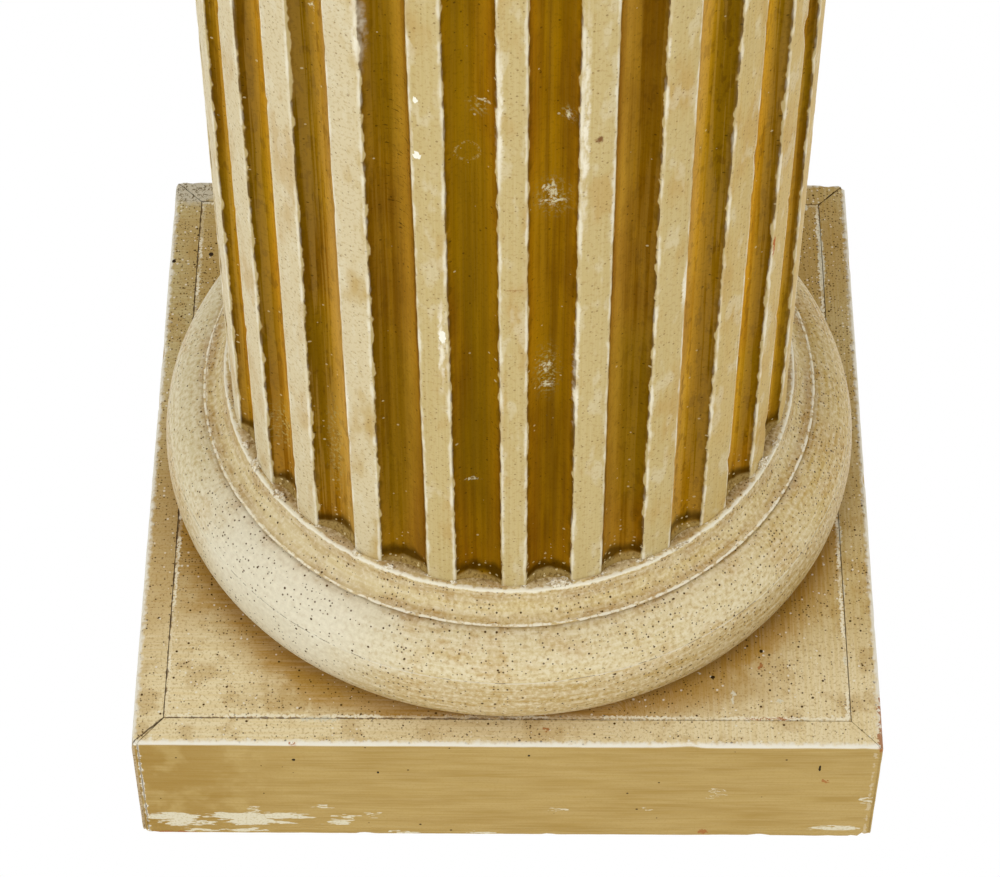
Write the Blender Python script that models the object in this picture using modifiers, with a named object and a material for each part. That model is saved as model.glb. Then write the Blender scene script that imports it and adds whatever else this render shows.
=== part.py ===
"""Fluted column pedestal of painted wood.

A hollow mitred plinth, a turned base in two glued layers, a straight shaft with flutes,
a turned neck moulding and a square top board. Metres, +Z up. The origin is the centre of
the underside and the front is -Y.
"""
import math

import bmesh
import bpy
from mathutils import Matrix

# Clearance between two pieces that touch
GAP = 0.0003

# Plinth: four mitred edge boards around a flush panel, open beneath
PLINTH_WIDTH = 0.356
PLINTH_HEIGHT = 0.081
BOARD_THICKNESS = 0.0145
BOARD_EASE = 0.0008
PANEL_THICKNESS = 0.020

# Base, lower layer: the torus from its foot to the glue seam above its widest line
TORUS_FOOT_RADIUS = 0.1562
TORUS_RADIUS = 0.1703
TORUS_WIDEST_HEIGHT = 0.0215
LOWER_LAYER_HEIGHT = 0.0361

# Base, upper layer: the rest of the torus, a quirk, a cavetto and the ledge under the shaft
TORUS_TOP_RISE = 0.0183
TORUS_TOP_RADIUS = 0.1472
QUIRK_HEIGHT = 0.0017
QUIRK_OVERHANG = 0.0016
CAVETTO_HEIGHT = 0.0137
LEDGE_WIDTH = 0.0028

# Shaft
SHAFT_RADIUS = 0.1362
SHAFT_LENGTH = 0.780
FLUTE_COUNT = 24
FILLET_WIDTH = 0.0137
FLUTE_DEPTH = 0.0060
FLUTE_PHASE = math.radians(0.86)

# Neck moulding: an annulet, a quirk, an ovolo and a flat band
ANNULET_PROJECTION = 0.0028
ANNULET_HEIGHT = 0.010
NECK_QUIRK_WIDTH = 0.0015
NECK_QUIRK_HEIGHT = 0.002
OVOLO_PROJECTION = 0.0130
OVOLO_HEIGHT = 0.026
NECK_BAND_WIDTH = 0.0015
NECK_BAND_HEIGHT = 0.008

# Top board
TOP_BOARD_WIDTH = 0.330
TOP_BOARD_THICKNESS = 0.038
TOP_BOARD_EASE = 0.0025

# Smoothness of the round work
TURNING_STEPS = 72
TORUS_FOOT_STEPS = 6
TORUS_BELLY_STEPS = 4
TORUS_CROWN_STEPS = 6
CAVETTO_STEPS = 5
OVOLO_STEPS = 6
FLUTE_STEPS = 10
SHARP_ANGLE = math.radians(35)
WELD_DISTANCE = 0.00001

# Levels, from the floor up
LOWER_LAYER_FOOT = PLINTH_HEIGHT + GAP
UPPER_LAYER_FOOT = LOWER_LAYER_FOOT + LOWER_LAYER_HEIGHT + GAP
UPPER_LAYER_HEIGHT = TORUS_TOP_RISE + QUIRK_HEIGHT + CAVETTO_HEIGHT
SHAFT_FOOT = UPPER_LAYER_FOOT + UPPER_LAYER_HEIGHT + GAP
NECK_FOOT = SHAFT_FOOT + SHAFT_LENGTH + GAP
NECK_HEIGHT = ANNULET_HEIGHT + NECK_QUIRK_HEIGHT + OVOLO_HEIGHT + NECK_BAND_HEIGHT
TOP_BOARD_FOOT = NECK_FOOT + NECK_HEIGHT + GAP


def clear_scene():
    for old in list(bpy.data.objects):
        bpy.data.objects.remove(old, do_unlink=True)


def new_collection(name):
    collection = bpy.data.collections.new(name)
    bpy.context.scene.collection.children.link(collection)
    return collection


def paint(name, colour, roughness, metallic=0.0):
    material = bpy.data.materials.new(name)
    material.use_nodes = True
    shader = material.node_tree.nodes["Principled BSDF"]
    shader.inputs["Base Color"].default_value = (*colour, 1.0)
    shader.inputs["Roughness"].default_value = roughness
    shader.inputs["Metallic"].default_value = metallic
    return material


def add_piece(collection, mesh, material, location=(0, 0, 0), turn=0.0):
    piece = bpy.data.objects.new(mesh.name, mesh)
    piece.location = location
    piece.rotation_euler = (0, 0, turn)
    mesh.materials.append(material)
    collection.objects.link(piece)
    return piece


def frozen(draft):
    """The shape that a draft object shows, as one welded mesh, smooth but for its arrises."""
    bpy.context.scene.collection.objects.link(draft)
    depsgraph = bpy.context.evaluated_depsgraph_get()
    mesh = bpy.data.meshes.new_from_object(draft.evaluated_get(depsgraph))
    mesh.name = draft.name
    bpy.data.objects.remove(draft, do_unlink=True)
    skin = bmesh.new()
    skin.from_mesh(mesh)
    bmesh.ops.remove_doubles(skin, verts=skin.verts, dist=WELD_DISTANCE)
    skin.to_mesh(mesh)
    skin.free()
    mesh.shade_smooth()
    mesh.set_sharp_from_angle(angle=SHARP_ANGLE)
    return mesh


def arc_points(centre, reach, rise, first, last, steps):
    """Points of an upright ellipse about centre, from one angle to another, both included."""
    points = []
    for step in range(steps + 1):
        angle = first + (last - first) * step / steps
        points.append((centre[0] + reach * math.cos(angle), centre[1] + rise * math.sin(angle)))
    return points


def turned(name, profile):
    """Turn a profile, given from the axis down its outer side back to the axis."""
    line = bpy.data.meshes.new(name + "_profile")
    chain = bmesh.new()
    corners = [chain.verts.new((radius, 0, height)) for radius, height in profile]
    for upper, lower in zip(corners, corners[1:]):
        chain.edges.new((upper, lower))
    chain.to_mesh(line)
    chain.free()
    draft = bpy.data.objects.new(name, line)
    screw = draft.modifiers.new("Turning", "SCREW")
    screw.steps = TURNING_STEPS
    screw.render_steps = TURNING_STEPS
    screw.use_merge_vertices = True
    screw.merge_threshold = WELD_DISTANCE
    return frozen(draft)


def extruded(name, outline, height):
    """Fill a flat outline and extrude it upward from level 0."""
    curve = bpy.data.curves.new(name + "_outline", "CURVE")
    curve.dimensions = "2D"
    curve.fill_mode = "BOTH"
    curve.extrude = height / 2
    spline = curve.splines.new("POLY")
    spline.points.add(len(outline) - 1)
    for corner, (x, y) in zip(spline.points, outline):
        corner.co = (x, y, 0, 1)
    spline.use_cyclic_u = True
    mesh = frozen(bpy.data.objects.new(name, curve))
    mesh.transform(Matrix.Translation((0, 0, height / 2)))
    return mesh


def ease_arrises(piece, width):
    bevel = piece.modifiers.new("Eased arrises", "BEVEL")
    bevel.width = width
    bevel.segments = 1
    bevel.limit_method = "ANGLE"


def square_outline(width):
    half = width / 2
    return [(-half, -half), (half, -half), (half, half), (-half, half)]


def make_plinth(collection, glaze):
    half = PLINTH_WIDTH / 2
    setback = GAP / math.sqrt(2)
    outer = half - setback
    inner = half - BOARD_THICKNESS - setback
    mitred = [
        (-outer, -half),
        (outer, -half),
        (inner, -half + BOARD_THICKNESS),
        (-inner, -half + BOARD_THICKNESS),
    ]
    for quarter, side in enumerate(("front", "right", "back", "left")):
        mesh = extruded("plinth_board_" + side, mitred, PLINTH_HEIGHT)
        board = add_piece(collection, mesh, glaze, turn=quarter * math.pi / 2)
        ease_arrises(board, BOARD_EASE)

    panel_width = PLINTH_WIDTH - 2 * (BOARD_THICKNESS + GAP)
    panel = extruded("plinth_panel", square_outline(panel_width), PANEL_THICKNESS)
    add_piece(collection, panel, glaze, (0, 0, PLINTH_HEIGHT - PANEL_THICKNESS))


def make_base(collection, cream):
    # Above its widest line the torus is a quarter ellipse, which the glue seam cuts in two
    quarter = math.pi / 2
    belly = TORUS_RADIUS - TORUS_TOP_RADIUS
    crown = LOWER_LAYER_HEIGHT + GAP + TORUS_TOP_RISE - TORUS_WIDEST_HEIGHT
    below_seam = math.asin((LOWER_LAYER_HEIGHT - TORUS_WIDEST_HEIGHT) / crown)
    above_seam = math.asin((LOWER_LAYER_HEIGHT + GAP - TORUS_WIDEST_HEIGHT) / crown)

    lower = [(0, LOWER_LAYER_HEIGHT)]
    lower += arc_points(
        (TORUS_TOP_RADIUS, TORUS_WIDEST_HEIGHT), belly, crown,
        below_seam, 0, TORUS_BELLY_STEPS)
    lower += arc_points(
        (TORUS_FOOT_RADIUS, TORUS_WIDEST_HEIGHT),
        TORUS_RADIUS - TORUS_FOOT_RADIUS, TORUS_WIDEST_HEIGHT,
        0, -quarter, TORUS_FOOT_STEPS)[1:]
    lower += [(0, 0)]
    add_piece(collection, turned("base_lower_layer", lower), cream, (0, 0, LOWER_LAYER_FOOT))

    ledge_radius = SHAFT_RADIUS + LEDGE_WIDTH
    brim_radius = TORUS_TOP_RADIUS + QUIRK_OVERHANG
    upper = [(0, UPPER_LAYER_HEIGHT)]
    upper += arc_points(
        (brim_radius, UPPER_LAYER_HEIGHT), brim_radius - ledge_radius, CAVETTO_HEIGHT,
        2 * quarter, 3 * quarter, CAVETTO_STEPS)
    upper += arc_points(
        (TORUS_TOP_RADIUS, TORUS_WIDEST_HEIGHT - LOWER_LAYER_HEIGHT - GAP), belly, crown,
        quarter, above_seam, TORUS_CROWN_STEPS)
    upper += [(0, 0)]
    add_piece(collection, turned("base_upper_layer", upper), cream, (0, 0, UPPER_LAYER_FOOT))


def shaft_outline():
    """Fillets on the shaft's round and flutes as circular arcs between them."""
    pitch = 2 * math.pi / FLUTE_COUNT
    half_fillet = math.asin(FILLET_WIDTH / 2 / SHAFT_RADIUS)
    half_flute = pitch / 2 - half_fillet
    half_chord = SHAFT_RADIUS * math.sin(half_flute)
    chord_distance = SHAFT_RADIUS * math.cos(half_flute)
    flute_radius = (half_chord ** 2 + FLUTE_DEPTH ** 2) / (2 * FLUTE_DEPTH)
    flute_centre = chord_distance - FLUTE_DEPTH + flute_radius
    half_sweep = math.atan2(half_chord, flute_centre - chord_distance)

    points = []
    for number in range(FLUTE_COUNT):
        fillet = -math.pi / 2 + FLUTE_PHASE + number * pitch
        points.append((SHAFT_RADIUS * math.cos(fillet), SHAFT_RADIUS * math.sin(fillet)))
        flute = fillet + pitch / 2
        for step in range(FLUTE_STEPS + 1):
            sweep = half_sweep * (2 * step / FLUTE_STEPS - 1)
            inward = flute_centre - flute_radius * math.cos(sweep)
            across = flute_radius * math.sin(sweep)
            x = inward * math.cos(flute) - across * math.sin(flute)
            y = inward * math.sin(flute) + across * math.cos(flute)
            points.append((x, y))
    return points


def make_shaft(collection, gilding):
    shaft = extruded("shaft", shaft_outline(), SHAFT_LENGTH)
    add_piece(collection, shaft, gilding, (0, 0, SHAFT_FOOT))


def make_neck(collection, cream):
    annulet = SHAFT_RADIUS + ANNULET_PROJECTION
    ovolo_foot = annulet - NECK_QUIRK_WIDTH
    ovolo_level = ANNULET_HEIGHT + NECK_QUIRK_HEIGHT
    ovolo = arc_points(
        (ovolo_foot, ovolo_level + OVOLO_HEIGHT), OVOLO_PROJECTION, OVOLO_HEIGHT,
        0, -math.pi / 2, OVOLO_STEPS)
    band = ovolo_foot + OVOLO_PROJECTION + NECK_BAND_WIDTH
    band_level = ovolo_level + OVOLO_HEIGHT
    profile = [(0, NECK_HEIGHT), (band, NECK_HEIGHT), (band, band_level)]
    profile += ovolo
    profile += [(ovolo_foot, ANNULET_HEIGHT), (annulet, ANNULET_HEIGHT), (annulet, 0), (0, 0)]
    add_piece(collection, turned("neck_moulding", profile), cream, (0, 0, NECK_FOOT))


def make_top(collection, cream):
    mesh = extruded("top_board", square_outline(TOP_BOARD_WIDTH), TOP_BOARD_THICKNESS)
    board = add_piece(collection, mesh, cream, (0, 0, TOP_BOARD_FOOT))
    ease_arrises(board, TOP_BOARD_EASE)


clear_scene()
pedestal = new_collection("fluted_column_pedestal")
cream_paint = paint("cream_paint", (0.62, 0.50, 0.31), 0.55)
tan_glaze = paint("tan_glaze", (0.50, 0.37, 0.19), 0.55)
gold_paint = paint("gold_paint", (0.42, 0.25, 0.06), 0.45, 0.3)
make_plinth(pedestal, tan_glaze)
make_base(pedestal, cream_paint)
make_shaft(pedestal, gold_paint)
make_neck(pedestal, cream_paint)
make_top(pedestal, cream_paint)
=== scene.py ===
import math
import random

import bpy
from mathutils import Euler, Matrix, Quaternion, Vector, noise


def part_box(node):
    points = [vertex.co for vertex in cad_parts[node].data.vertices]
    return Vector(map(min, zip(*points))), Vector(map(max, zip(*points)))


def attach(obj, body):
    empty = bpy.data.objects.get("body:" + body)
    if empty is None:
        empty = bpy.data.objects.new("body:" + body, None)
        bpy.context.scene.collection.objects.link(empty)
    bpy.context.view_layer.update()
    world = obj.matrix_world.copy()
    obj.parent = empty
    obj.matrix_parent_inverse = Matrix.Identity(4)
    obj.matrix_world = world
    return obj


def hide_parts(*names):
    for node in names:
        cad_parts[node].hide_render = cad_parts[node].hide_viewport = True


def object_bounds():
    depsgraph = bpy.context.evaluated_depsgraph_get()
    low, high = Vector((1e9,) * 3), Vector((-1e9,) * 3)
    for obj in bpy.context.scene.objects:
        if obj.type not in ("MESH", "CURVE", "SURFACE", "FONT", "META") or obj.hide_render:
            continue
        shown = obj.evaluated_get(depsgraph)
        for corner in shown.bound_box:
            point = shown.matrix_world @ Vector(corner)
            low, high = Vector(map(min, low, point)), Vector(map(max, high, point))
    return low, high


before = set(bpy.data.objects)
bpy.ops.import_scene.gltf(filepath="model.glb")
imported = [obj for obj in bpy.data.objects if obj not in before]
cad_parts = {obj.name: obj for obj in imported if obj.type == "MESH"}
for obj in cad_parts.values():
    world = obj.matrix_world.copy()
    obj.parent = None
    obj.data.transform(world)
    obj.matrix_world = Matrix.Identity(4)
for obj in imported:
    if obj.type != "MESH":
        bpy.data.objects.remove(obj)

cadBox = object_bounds()
boardLow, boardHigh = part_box("plinth_board_front")
panelLow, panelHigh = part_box("plinth_panel")
lowerLow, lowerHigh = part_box("base_lower_layer")
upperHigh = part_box("base_upper_layer")[1]
shaftLow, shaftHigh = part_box("shaft")
neckLow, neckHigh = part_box("neck_moulding")
topLow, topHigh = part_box("top_board")

plinthHalf = cadBox[1].x
plinthTop = boardHigh.z
boardDepth = boardHigh.y - boardLow.y
seamInset = plinthHalf - panelHigh.x  # from the plinth's face to the seam round the panel
torusRadius = lowerHigh.x
seamLevel = lowerHigh.z  # glue seam between the two base layers
ledgeLevel = upperHigh.z
hairGap = 0.00004  # what is left between pieces that look glued


# Small helpers for modelling

def deselectAll():
    if bpy.context.mode != "OBJECT":
        bpy.ops.object.mode_set(mode="OBJECT")
    bpy.ops.object.select_all(action="DESELECT")


def freezePlace(piece):  # the place goes into the mesh
    piece.data.transform(piece.matrix_world)
    piece.matrix_world = Matrix.Identity(4)


def startPiece(name, addPrimitive, **settings):
    deselectAll()
    addPrimitive(**settings)
    piece = bpy.context.object
    piece.name = name
    piece.data.name = name
    bpy.context.view_layer.update()
    freezePlace(piece)
    return piece


def pick(piece, kind, wanted):  # leaves edit mode on, with what is wanted selected
    bpy.ops.object.mode_set(mode="EDIT")
    bpy.ops.mesh.select_mode(type=kind)
    bpy.ops.mesh.select_all(action="DESELECT")
    bpy.ops.object.mode_set(mode="OBJECT")
    mesh = piece.data
    if kind == "EDGE":
        for edge in mesh.edges:
            first, second = (mesh.vertices[end].co for end in edge.vertices)
            edge.select = wanted(first, second)
    else:
        for vertex in mesh.vertices:
            vertex.select = wanted(vertex.co)
    bpy.ops.object.mode_set(mode="EDIT")


def cutAcross(piece, axis, cutCounts, lean=0.9):  # even cuts through the edges that run along an axis
    def runsAlong(first, second):
        way = second - first
        return abs(way[axis]) > lean * way.length
    for cuts in cutCounts:
        pick(piece, "EDGE", runsAlong)
        bpy.ops.mesh.subdivide(number_cuts=cuts)
    bpy.ops.object.mode_set(mode="OBJECT")


def closeUp(piece, angle=40):  # normals out, smooth but for the arrises
    bpy.ops.object.mode_set(mode="EDIT")
    bpy.ops.mesh.select_all(action="SELECT")
    bpy.ops.mesh.remove_doubles(threshold=0.000002)
    bpy.ops.mesh.normals_make_consistent(inside=False)
    bpy.ops.object.mode_set(mode="OBJECT")
    bpy.ops.object.shade_smooth_by_angle(angle=math.radians(angle))
    return piece


def scoop(mesh, centre, radius):  # presses a broken hollow into whatever the ball reaches
    centre = Vector(centre)
    for vertex in mesh.vertices:
        away = vertex.co - centre
        reach = radius * (1 + 0.35 * noise.noise(vertex.co * 420))
        if 0 < away.length < reach:
            vertex.co = centre + away * (reach / away.length)


def arcPoints(centre, reach, rise, first, last, steps):  # an upright ellipse, angles in degrees
    points = []
    for step in range(steps + 1):
        angle = math.radians(first + (last - first) * step / steps)
        points.append((centre[0] + reach * math.cos(angle), centre[1] + rise * math.sin(angle)))
    return points


def turnUp(name, profile, steps):  # a turned piece, drawn up from its foot by extrude and scale
    radius, level = profile[0]
    piece = startPiece(name, bpy.ops.mesh.primitive_circle_add, vertices=steps, radius=radius,
                       fill_type="NGON", location=(0, 0, level))
    bpy.ops.object.mode_set(mode="EDIT")
    bpy.ops.mesh.select_mode(type="FACE")
    bpy.ops.mesh.select_all(action="SELECT")
    for nextRadius, nextLevel in profile[1:]:
        bpy.ops.mesh.extrude_region_move(TRANSFORM_OT_translate={"value": (0, 0, nextLevel - level)})
        share = nextRadius / radius
        bpy.ops.transform.resize(value=(share, share, 1), center_override=(0, 0, nextLevel))
        radius, level = nextRadius, nextLevel
    bpy.ops.object.mode_set(mode="OBJECT")
    lengths = [0.0]  # along the profile, for paint that is laid out flat
    for first, second in zip(profile, profile[1:]):
        lengths.append(lengths[-1] + math.dist(first, second))
    runs = []
    for vertex in piece.data.vertices:
        here = (math.hypot(vertex.co.x, vertex.co.y), vertex.co.z)
        runs.append(min((math.dist(here, point), length) for point, length in zip(profile, lengths))[1])
    attribute = piece.data.attributes.new("profileRun", "FLOAT", "POINT")
    attribute.data.foreach_set("value", runs)
    return piece


# Pieces

plinthLook = {
    "arrisRound": 0.0019, "mitreEase": 0.0003, "wave": 0.00022, "nickDepth": 0.0030, "wearReach": 0.004,
    "panelEase": 0.00015, "panelWave": 0.00012, "seamReach": 0.003, "seamRise": 0.0006,
    "mitres": [  # front left and right, back right and left: gap, then how far it runs off the corner
        (0.00040, 0.0026), (0.00020, 0.0012), (0.0003, 0.0), (0.0003, 0.0)],
    "brokenCorners": [  # place and size of each broken corner, in metres
        ((-0.1795, -0.1795, -0.0008), 0.0062), ((-0.1720, -0.1795, -0.0012), 0.0034),
        ((0.1800, -0.1795, -0.0012), 0.0066), ((0.1735, -0.1795, -0.0040), 0.0072),
        ((-0.1795, -0.1788, 0.0825), 0.0036), ((0.1797, -0.1700, 0.0822), 0.0033),
        ((0.1796, -0.1790, 0.0825), 0.0042), ((0.1795, -0.0374, 0.0826), 0.0040),
        ((-0.1797, 0.1795, 0.0826), 0.0062), ((-0.1700, 0.1797, 0.0826), 0.0042),
        ((0.1800, 0.1800, 0.0830), 0.0068), ((-0.1799, 0.0500, 0.0822), 0.0027),
        ((0.0289, -0.1802, 0.0822), 0.0029), ((-0.1014, -0.1801, 0.0821), 0.0024),
        ((0.1797, -0.1797, 0.0345), 0.0030), ((-0.1797, -0.1797, 0.0500), 0.0024)],
}


def makePlinthBoard(side, quarter):
    look = plinthLook
    half, depth = plinthHalf, boardDepth
    board = startPiece("plinthBoard" + side, bpy.ops.mesh.primitive_cube_add, size=1,
                       location=(0, depth / 2 - half, plinthTop / 2), scale=(2 * half, depth, plinthTop))
    for end in (-1, 1):
        gap, runOff = look["mitres"][quarter if end < 0 else (quarter + 1) % 4]
        runOffFront = (runOff, 0.0) if quarter in (0, 2) else (0.0, runOff)
        outward = Vector((end * (depth - runOffFront[1]), depth - runOffFront[0], 0)).normalized()
        corner = Vector((end * (half - runOffFront[0]), runOffFront[1] - half, 0)) - outward * gap / 2
        bpy.ops.object.mode_set(mode="EDIT")
        bpy.ops.mesh.select_all(action="SELECT")
        bpy.ops.mesh.bisect(plane_co=corner, plane_no=outward, use_fill=True, clear_outer=True)
        bpy.ops.object.mode_set(mode="OBJECT")

    def outerLongEdge(first, second):
        return first.y < -half + 1e-5 and second.y < -half + 1e-5 and abs(first.z - second.z) < 1e-5
    pick(board, "EDGE", outerLongEdge)
    bpy.ops.mesh.bevel(offset=look["arrisRound"], segments=4, affect="EDGES")

    def mitreEdge(first, second):
        atEnds = first.x * second.x > 0 and abs(abs(first.x) + first.y) < 0.004
        return atEnds and abs(abs(second.x) + second.y) < 0.004
    pick(board, "EDGE", mitreEdge)
    bpy.ops.mesh.bevel(offset=look["mitreEase"], segments=1, affect="EDGES")
    cutAcross(board, 0, (9, 14))
    cutAcross(board, 2, (2, 10))
    cutAcross(board, 1, (5,), lean=0.6)
    turn = Matrix.Rotation(quarter * math.pi / 2, 4, "Z")
    board.data.transform(turn)
    inward = turn @ Vector((0, 1, 0))
    for vertex in board.data.vertices:
        spot = vertex.co
        outside = max(0.0, 1 - (half + spot.dot(inward)) / look["wearReach"])
        onTop = max(0.0, 1 - (plinthTop - spot.z) / look["wearReach"])
        wave = look["wave"] * (1 + noise.noise(spot * 22) + 0.5 * noise.noise(spot * 130))
        nick = look["nickDepth"] * max(0.0, noise.noise(spot * 75) - 0.33) * outside * onTop
        foot = look["nickDepth"] * max(0.0, noise.noise(spot * 60) - 0.2) * outside
        foot *= max(0.0, 1 - spot.z / look["wearReach"])
        spot += inward * (outside * wave + nick + foot)
        spot.z += foot - onTop * (wave * 0.6 + nick)
    for place, radius in look["brokenCorners"]:
        scoop(board.data, place, radius)
    return closeUp(board)


def makePlinthPanel():
    look = plinthLook
    half = panelHigh.x - hairGap
    thickness = panelHigh.z - panelLow.z
    panel = startPiece("plinthPanel", bpy.ops.mesh.primitive_cube_add, size=1,
                       location=(0, 0, panelHigh.z - thickness / 2), scale=(2 * half, 2 * half, thickness))
    pick(panel, "EDGE", lambda first, second: min(first.z, second.z) > panelHigh.z - 1e-5)
    bpy.ops.mesh.bevel(offset=look["panelEase"], segments=1, affect="EDGES")
    cutAcross(panel, 0, (9, 11))
    cutAcross(panel, 1, (9, 11))
    for vertex in panel.data.vertices:
        spot = vertex.co
        if spot.z > panelHigh.z - 0.001:
            edge = max(0.0, 1 - (half - max(abs(spot.x), abs(spot.y))) / look["seamReach"])
            spot.z += edge * look["seamRise"] * max(0.0, noise.noise(spot * 160) + 0.15)
            spot.z -= look["panelWave"] * (1 + noise.noise(spot * 30))
    return closeUp(panel)


baseLook = {
    "steps": 384, "footRadius": 0.1562, "widest": 0.0215, "crownRadius": 0.1472,
    "brimRadius": 0.1488, "cavettoHeight": 0.0137, "ledgeRadius": 0.1390,
    "quirk": 0.0017, "wobble": 0.00022, "brimWear": 0.0016, "brimReach": 0.0022,
    "brokenBrims": [  # angle from the front in degrees, radius, height and size
        (12.0, 0.1406, 0.1530, 0.0032), (14.5, 0.1404, 0.1528, 0.0026), (37.0, 0.1404, 0.1527, 0.0026),
        (39.5, 0.1404, 0.1527, 0.0022), (-4.0, 0.1402, 0.1523, 0.0016), (-62.0, 0.1403, 0.1528, 0.0032),
        (-66.0, 0.1404, 0.1528, 0.0030), (-33.0, 0.1403, 0.1526, 0.0022), (71.0, 0.1404, 0.1529, 0.0034),
        (128.0, 0.1404, 0.1527, 0.0030), (-150.0, 0.1404, 0.1527, 0.0027)],
}


def around(degrees, radius, level):  # a place by its angle from the front
    angle = math.radians(degrees)
    return Vector((radius * math.sin(angle), -radius * math.cos(angle), level))


def wearTurned(piece, brims, look):
    for vertex in piece.data.vertices:
        spot = vertex.co
        reach = math.hypot(spot.x, spot.y)
        if reach < 0.1:
            continue
        outward = Vector((spot.x / reach, spot.y / reach, 0))
        loss = look["wobble"] * (1 + noise.noise(spot * 24) + 0.4 * noise.noise(spot * 140))
        for brimRadius, brimLevel in brims:
            near = max(0.0, 1 - math.hypot(reach - brimRadius, spot.z - brimLevel) / look["brimReach"])
            loss += look["brimWear"] * near * max(0.0, noise.noise(spot * 95) - 0.12)
        vertex.co = spot - outward * loss


def makeBase():
    look = baseLook
    belly = torusRadius - look["crownRadius"]
    widest = lowerLow.z + look["widest"]
    top = ledgeLevel - look["cavettoHeight"]
    crown = top - look["quirk"] - widest
    seamAngle = math.degrees(math.asin((seamLevel - widest) / crown))
    centre = (look["crownRadius"], widest)

    foot = arcPoints((look["footRadius"], widest), torusRadius - look["footRadius"],
                     look["widest"], -90, 0, 14)
    lower = foot + arcPoints(centre, belly, crown, 0, seamAngle - 0.6, 7)[1:]
    lower += [(lower[-1][0] - 0.0004, seamLevel), (lower[-1][0] - 0.004, seamLevel)]
    lowerLayer = turnUp("baseLowerLayer", lower, look["steps"])
    wearTurned(lowerLayer, [], look)

    seamRadius = look["crownRadius"] + belly * math.cos(math.radians(seamAngle))
    upper = [(seamRadius - 0.004, seamLevel + hairGap), (seamRadius - 0.0003, seamLevel + hairGap)]
    upper += arcPoints(centre, belly, crown, seamAngle + 0.8, 84, 15)
    brim = (look["brimRadius"], top)
    upper += [(brim[0] - 0.0020, top - 0.0019), (brim[0] - 0.0022, top - 0.0013),
              (brim[0] - 0.0004, top - 0.0008), (brim[0], top - 0.0002), (brim[0] - 0.0001, top + 0.0005)]
    cove = arcPoints((brim[0], ledgeLevel - 0.0010), brim[0] - look["ledgeRadius"],
                     look["cavettoHeight"] - 0.0010, -84, -180, 12)
    rim = look["ledgeRadius"]
    upper += cove + [(rim - 0.0001, ledgeLevel - 0.0005), (rim - 0.0005, ledgeLevel - 0.0001),
                     (rim - 0.0012, ledgeLevel), (rim - 0.0030, ledgeLevel), (rim - 0.0070, ledgeLevel),
                     (rim - 0.0120, ledgeLevel)]
    upperLayer = turnUp("baseUpperLayer", upper, look["steps"])
    wearTurned(upperLayer, [(brim[0], top), (rim, ledgeLevel)], look)
    for degrees, radius, level, size in look["brokenBrims"]:
        scoop(upperLayer.data, around(degrees, radius, level), size)
    return [closeUp(lowerLayer), closeUp(upperLayer)]


shaftLook = {
    "pitchSteps": 18, "flutes": 24, "phase": 0.86, "radius": 0.1362, "filletWidth": 0.0137,
    "fluteDepth": 0.0060, "footCove": 0.0075, "footSweep": 0.45, "arrisRound": 0.0006,
    "handWobble": 0.16, "surfaceWave": 0.00012, "arrisNick": 0.0018,
    "measuredFrom": 0.155, "measuredTo": 0.520,  # heights of the two measures below
    "handCutFillets": {  # centre at the top and foot, half width at the top and foot, in degrees
        -4: (-59.4, -58.7, 3.0, 3.0), -3: (-44.4, -44.2, 3.2, 2.7), -2: (-29.6, -28.8, 3.3, 2.8),
        -1: (-14.5, -13.1, 2.8, 2.65), 0: (0.35, 1.30, 2.5, 2.25), 1: (15.2, 15.6, 3.1, 2.95),
        2: (30.6, 30.7, 3.15, 3.1), 3: (46.5, 45.5, 3.0, 3.4), 4: (61.9, 60.4, 3.1, 2.7)},
}


def filletAt(number, level):  # centre and half width of a fillet at a height, in degrees
    look = shaftLook
    pitch = 360 / look["flutes"]
    lap, place = divmod(number + look["flutes"] // 2, look["flutes"])
    number = place - look["flutes"] // 2
    plainHalf = math.degrees(math.asin(look["filletWidth"] / 2 / look["radius"]))
    if number in look["handCutFillets"]:
        atTop, atFoot, halfTop, halfFoot = look["handCutFillets"][number]
        share = (level - look["measuredFrom"]) / (look["measuredTo"] - look["measuredFrom"])
        share = min(1.0, max(0.0, share))
        centre = atFoot + (atTop - atFoot) * share
        half = halfFoot + (halfTop - halfFoot) * share
    else:
        centre = look["phase"] + number * pitch + 0.5 * noise.noise(Vector((number * 3.7, level * 2, 4)))
        half = plainHalf + 0.35 * noise.noise(Vector((number * 5.3, level * 2, 9)))
    return centre + 360 * lap, half


def arrisAt(number, side, level):  # where a fillet's arris runs, with the hand's wobble
    centre, half = filletAt(number, level)
    home = number % shaftLook["flutes"]
    slow = noise.noise(Vector((home * 2.9 + side, level * 16, 1)))
    quick = noise.noise(Vector((home * 4.1 + side, level * 85, 2)))
    return centre + side * half + shaftLook["handWobble"] * (0.7 * slow + 0.55 * quick)


fluteShares = (-0.955, -0.82, -0.64, -0.43, -0.21, 0.0, 0.21, 0.43, 0.64, 0.82, 0.955)


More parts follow.
